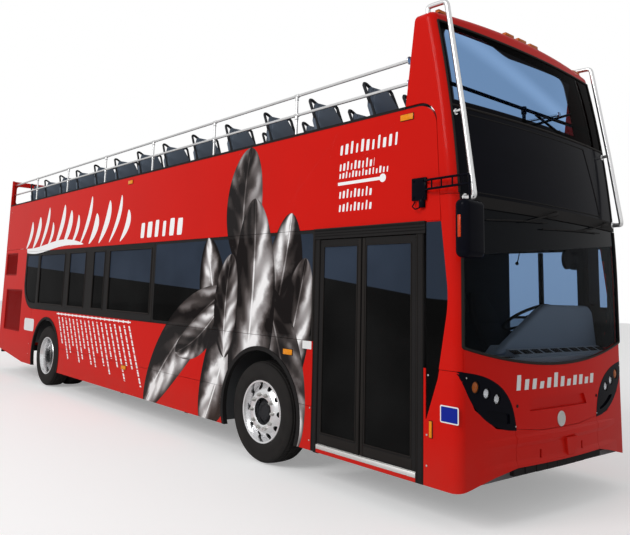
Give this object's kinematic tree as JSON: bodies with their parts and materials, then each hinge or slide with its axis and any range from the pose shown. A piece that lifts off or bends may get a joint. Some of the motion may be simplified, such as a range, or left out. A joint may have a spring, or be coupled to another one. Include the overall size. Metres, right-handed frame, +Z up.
{
  "type": "open top double decker bus",
  "caption": "Open top double decker bus with a glazed nose, one twin-leaf entrance, railed upper deck and steered front wheels.",
  "frame": {"origin": "on the ground under the middle of the overall box", "axes": "+X forwards along the bus, +Y to its left-hand side, +Z up"},
  "size_m": [10.962, 2.86, 4.0635],
  "materials": {
    "red_paint": "gloss",
    "black_gloss": "gloss",
    "dark_trim": "satin",
    "glass_dark": "polished",
    "glass_clear": "polished",
    "rail_steel": "satin",
    "frame_steel": "satin",
    "floor_grey": "satin",
    "seat_blue": "woven",
    "alloy": "polished",
    "tyre": "matte",
    "lamp_clear": "polished",
    "lamp_amber": "gloss",
    "engine_iron": "rough"
  },
  "bodies": {
    "root": {"chassis_frame": "frame_steel", "front_axle": "frame_steel", "rear_axle": "frame_steel", "engine_block": "engine_iron", "lower_floor": "floor_grey", "rear_floor": "floor_grey", "rear_frame": "frame_steel", "upper_floor": "floor_grey", "staircase": "floor_grey", "cab_partition": "dark_trim", "dashboard": "dark_trim", "steering_wheel": "dark_trim", "seat_backs": "seat_blue", "seat_cushions": "seat_blue", "seat_legs": "frame_steel", "seat_handles": "dark_trim", "side_lower": "red_paint", "side_upper": "red_paint", "window_bands": "dark_trim", "side_glass": "glass_dark", "rear_quarters": "red_paint", "side_vents": "red_paint", "body_trims": "dark_trim", "rear_panel": "red_paint", "rear_bumper": "dark_trim", "front_fascia": "red_paint", "front_bumper": "red_paint", "headlamp_masks": "black_gloss", "front_lamps": "lamp_clear", "windscreen_lower": "glass_clear", "screen_header": "dark_trim", "sign_panel": "black_gloss", "windscreen_upper": "glass_clear", "front_pillars": "red_paint", "front_cowl": "red_paint", "door_surround": "dark_trim", "guard_rails": "rail_steel", "branch_guards": "rail_steel", "mirrors": "dark_trim", "wipers": "dark_trim", "marker_lamps": "lamp_amber"},
    "knuckle_left": {"knuckle_left": "frame_steel"},
    "knuckle_right": {"knuckle_right": "frame_steel"},
    "front_wheel_left": {"front_tyre_left": "tyre", "front_rim_left": "alloy"},
    "front_wheel_right": {"front_tyre_right": "tyre", "front_rim_right": "alloy"},
    "rear_wheels_left": {"rear_tyres_left": "tyre", "rear_rims_left": "alloy"},
    "rear_wheels_right": {"rear_tyres_right": "tyre", "rear_rims_right": "alloy"},
    "door_front": {"door_leaf_front": "dark_trim", "door_glass_front": "glass_dark"},
    "door_rear": {"door_leaf_rear": "dark_trim", "door_glass_rear": "glass_dark"},
    "engine_cover": {"engine_cover": "red_paint"}
  },
  "joints": [
    {"name": "steer_left", "type": "hinge", "parent": "root", "child": "knuckle_left", "pos_m": [2.921, 0.96, 0.486], "axis": [0, 0, 1], "range_deg": [-40, 40]},
    {"name": "steer_right", "type": "hinge", "parent": "root", "child": "knuckle_right", "pos_m": [2.921, -0.96, 0.486], "axis": [0, 0, 1], "range_deg": [-40, 40]},
    {"name": "front_spin_left", "type": "hinge", "parent": "knuckle_left", "child": "front_wheel_left", "pos_m": [2.921, 1.105, 0.486], "axis": [0, 1, 0], "continuous": true},
    {"name": "front_spin_right", "type": "hinge", "parent": "knuckle_right", "child": "front_wheel_right", "pos_m": [2.921, -1.105, 0.486], "axis": [0, 1, 0], "continuous": true},
    {"name": "rear_spin_left", "type": "hinge", "parent": "root", "child": "rear_wheels_left", "pos_m": [-2.921, 0.9425, 0.486], "axis": [0, 1, 0], "continuous": true},
    {"name": "rear_spin_right", "type": "hinge", "parent": "root", "child": "rear_wheels_right", "pos_m": [-2.921, -0.9425, 0.486], "axis": [0, 1, 0], "continuous": true},
    {"name": "door_front_swing", "type": "hinge", "parent": "root", "child": "door_front", "pos_m": [4.85, -1.215, 1.25], "axis": [0, 0, -1], "range_deg": [0, 88]},
    {"name": "door_rear_swing", "type": "hinge", "parent": "root", "child": "door_rear", "pos_m": [3.798, -1.215, 1.25], "axis": [0, 0, 1], "range_deg": [0, 88]},
    {"name": "engine_cover_hinge", "type": "hinge", "parent": "root", "child": "engine_cover", "pos_m": [-5.473, 0, 1.694], "axis": [0, 1, 0], "range_deg": [0, 75]}
  ],
  "couplings": [
    {"joint": "steer_right", "follows": "steer_left", "ratio": 1},
    {"joint": "door_rear_swing", "follows": "door_front_swing", "ratio": 1}
  ]
}
